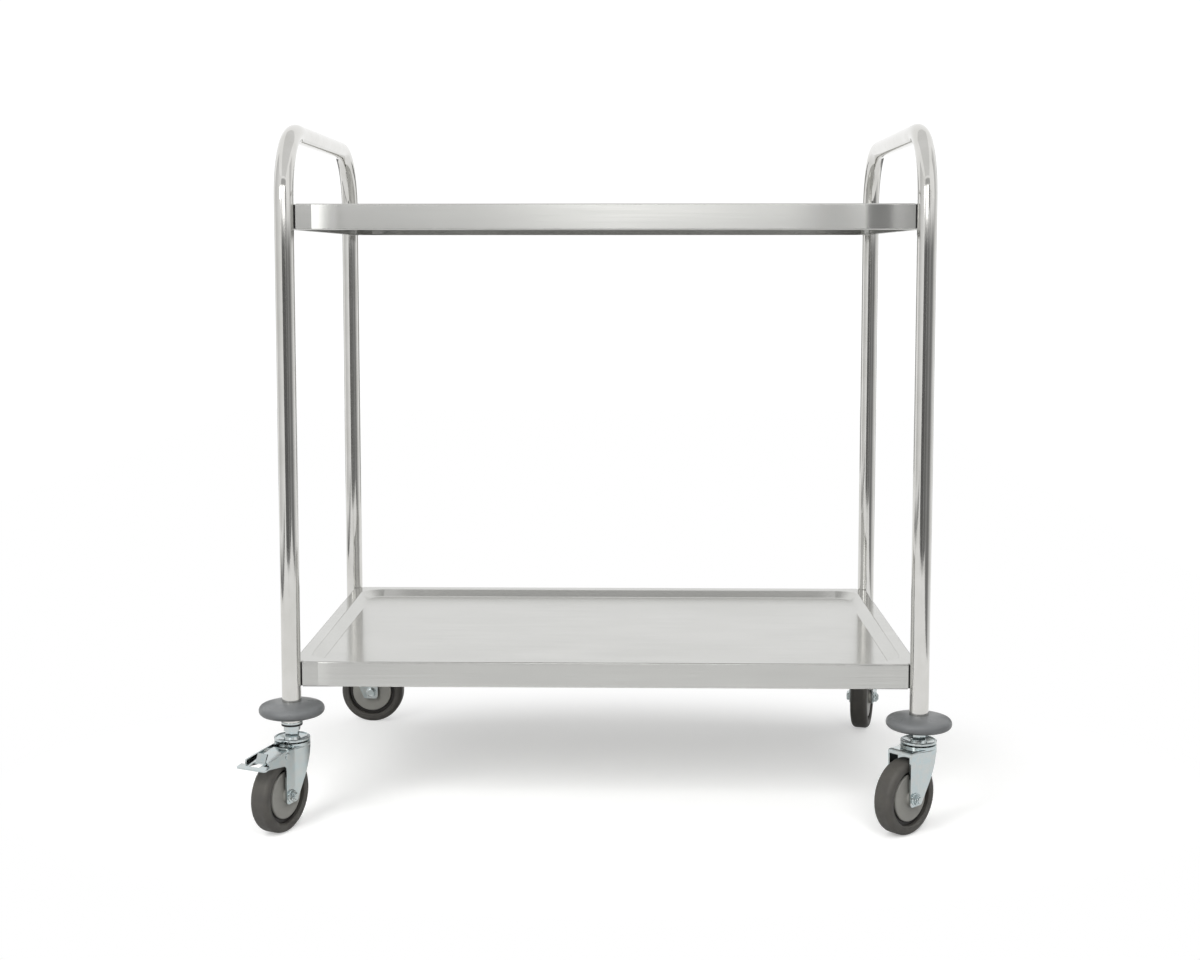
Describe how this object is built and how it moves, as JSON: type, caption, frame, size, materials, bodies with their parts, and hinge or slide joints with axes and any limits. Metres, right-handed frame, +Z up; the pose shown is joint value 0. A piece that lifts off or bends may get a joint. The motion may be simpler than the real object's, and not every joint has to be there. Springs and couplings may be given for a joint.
{
  "type": "service cart",
  "caption": "Two-tier steel service cart: pressed tray shelves bolted between bent tube end frames with push handles, bumper rings and swivel castors, some with foot brakes.",
  "frame": {"origin": "on the floor under the middle of the four legs", "axes": "+X along the cart to the right in the picture's view, +Y from the front to the rear, +Z up"},
  "size_m": [0.936, 0.651, 0.937],
  "materials": {
    "tube_steel": "polished stainless tube",
    "tray_steel": "satin stainless sheet",
    "zinc_steel": "bright zinc plate",
    "fastener_steel": "plain bright steel",
    "bumper_plastic": "smooth moulded grey",
    "guard_plastic": "smooth moulded grey",
    "core_plastic": "moulded grey",
    "bush_plastic": "natural moulded",
    "sleeve_plastic": "moulded black",
    "tyre_rubber": "non marking grey rubber",
    "liner_rubber": "moulded black"
  },
  "bodies": {
    "cart": {"left_end_frame": "tube_steel", "right_end_frame": "tube_steel", "upper_shelf": "tray_steel", "upper_channel": "tray_steel", "lower_shelf": "tray_steel", "lower_channel": "tray_steel", "corner_liners": "liner_rubber", "shelf_bolts": "fastener_steel", "shelf_washers": "fastener_steel", "tube_inserts": "fastener_steel", "stem_sleeves": "sleeve_plastic", "stem_washers": "liner_rubber", "swivel_balls": "fastener_steel", "front_left_bumper": "bumper_plastic", "front_left_stem": "zinc_steel", "front_left_race_cup": "zinc_steel", "front_right_bumper": "bumper_plastic", "front_right_stem": "zinc_steel", "front_right_race_cup": "zinc_steel", "rear_left_bumper": "bumper_plastic", "rear_left_stem": "zinc_steel", "rear_left_race_cup": "zinc_steel", "rear_right_bumper": "bumper_plastic", "rear_right_stem": "zinc_steel", "rear_right_race_cup": "zinc_steel"},
    "front_left_castor": {"front_left_fork": "zinc_steel", "front_left_axle_bolt": "zinc_steel", "front_left_axle_spacer": "fastener_steel", "front_left_thread_guards": "guard_plastic", "front_left_brake_pin": "zinc_steel", "front_left_brake_spring": "fastener_steel"},
    "front_left_wheel": {"front_left_tyre": "tyre_rubber", "front_left_wheel_core": "core_plastic", "front_left_wheel_bush": "bush_plastic"},
    "front_left_brake": {"front_left_brake_pedal": "zinc_steel"},
    "front_right_castor": {"front_right_fork": "zinc_steel", "front_right_axle_bolt": "zinc_steel", "front_right_axle_spacer": "fastener_steel", "front_right_thread_guards": "guard_plastic"},
    "front_right_wheel": {"front_right_tyre": "tyre_rubber", "front_right_wheel_core": "core_plastic", "front_right_wheel_bush": "bush_plastic"},
    "rear_left_castor": {"rear_left_fork": "zinc_steel", "rear_left_axle_bolt": "zinc_steel", "rear_left_axle_spacer": "fastener_steel", "rear_left_thread_guards": "guard_plastic", "rear_left_brake_pin": "zinc_steel", "rear_left_brake_spring": "fastener_steel"},
    "rear_left_wheel": {"rear_left_tyre": "tyre_rubber", "rear_left_wheel_core": "core_plastic", "rear_left_wheel_bush": "bush_plastic"},
    "rear_left_brake": {"rear_left_brake_pedal": "zinc_steel"},
    "rear_right_castor": {"rear_right_fork": "zinc_steel", "rear_right_axle_bolt": "zinc_steel", "rear_right_axle_spacer": "fastener_steel", "rear_right_thread_guards": "guard_plastic"},
    "rear_right_wheel": {"rear_right_tyre": "tyre_rubber", "rear_right_wheel_core": "core_plastic", "rear_right_wheel_bush": "bush_plastic"}
  },
  "joints": [
    {"name": "front_left_swivel", "type": "hinge", "parent": "cart", "child": "front_left_castor", "pos_m": [-0.4175, -0.2575, 0.1154], "axis": [0, 0, 1], "continuous": true},
    {"name": "front_left_roll", "type": "hinge", "parent": "front_left_castor", "child": "front_left_wheel", "pos_m": [-0.4293, -0.28399, 0.05], "axis": [0.9135, -0.4067, 0], "continuous": true},
    {"name": "front_left_brake_press", "type": "hinge", "parent": "front_left_castor", "child": "front_left_brake", "pos_m": [-0.43255, -0.2913, 0.1045], "axis": [0.9135, -0.4067, 0], "range_deg": [0, 12]},
    {"name": "front_right_swivel", "type": "hinge", "parent": "cart", "child": "front_right_castor", "pos_m": [0.4175, -0.2575, 0.1154], "axis": [0, 0, 1], "continuous": true},
    {"name": "front_right_roll", "type": "hinge", "parent": "front_right_castor", "child": "front_right_wheel", "pos_m": [0.39629, -0.27728, 0.05], "axis": [0.682, -0.7314, 0], "continuous": true},
    {"name": "rear_left_swivel", "type": "hinge", "parent": "cart", "child": "rear_left_castor", "pos_m": [-0.4175, 0.2575, 0.1154], "axis": [0, 0, 1], "continuous": true},
    {"name": "rear_left_roll", "type": "hinge", "parent": "rear_left_castor", "child": "rear_left_wheel", "pos_m": [-0.38854, 0.25598, 0.05], "axis": [0.0523, 0.9986, 0], "continuous": true},
    {"name": "rear_left_brake_press", "type": "hinge", "parent": "rear_left_castor", "child": "rear_left_brake", "pos_m": [-0.38055, 0.25556, 0.1045], "axis": [0.0523, 0.9986, 0], "range_deg": [0, 12]},
    {"name": "rear_right_swivel", "type": "hinge", "parent": "cart", "child": "rear_right_castor", "pos_m": [0.4175, 0.2575, 0.1154], "axis": [0, 0, 1], "continuous": true},
    {"name": "rear_right_roll", "type": "hinge", "parent": "rear_right_castor", "child": "rear_right_wheel", "pos_m": [0.40999, 0.22949, 0.05], "axis": [0.9659, -0.2588, 0], "continuous": true}
  ]
}
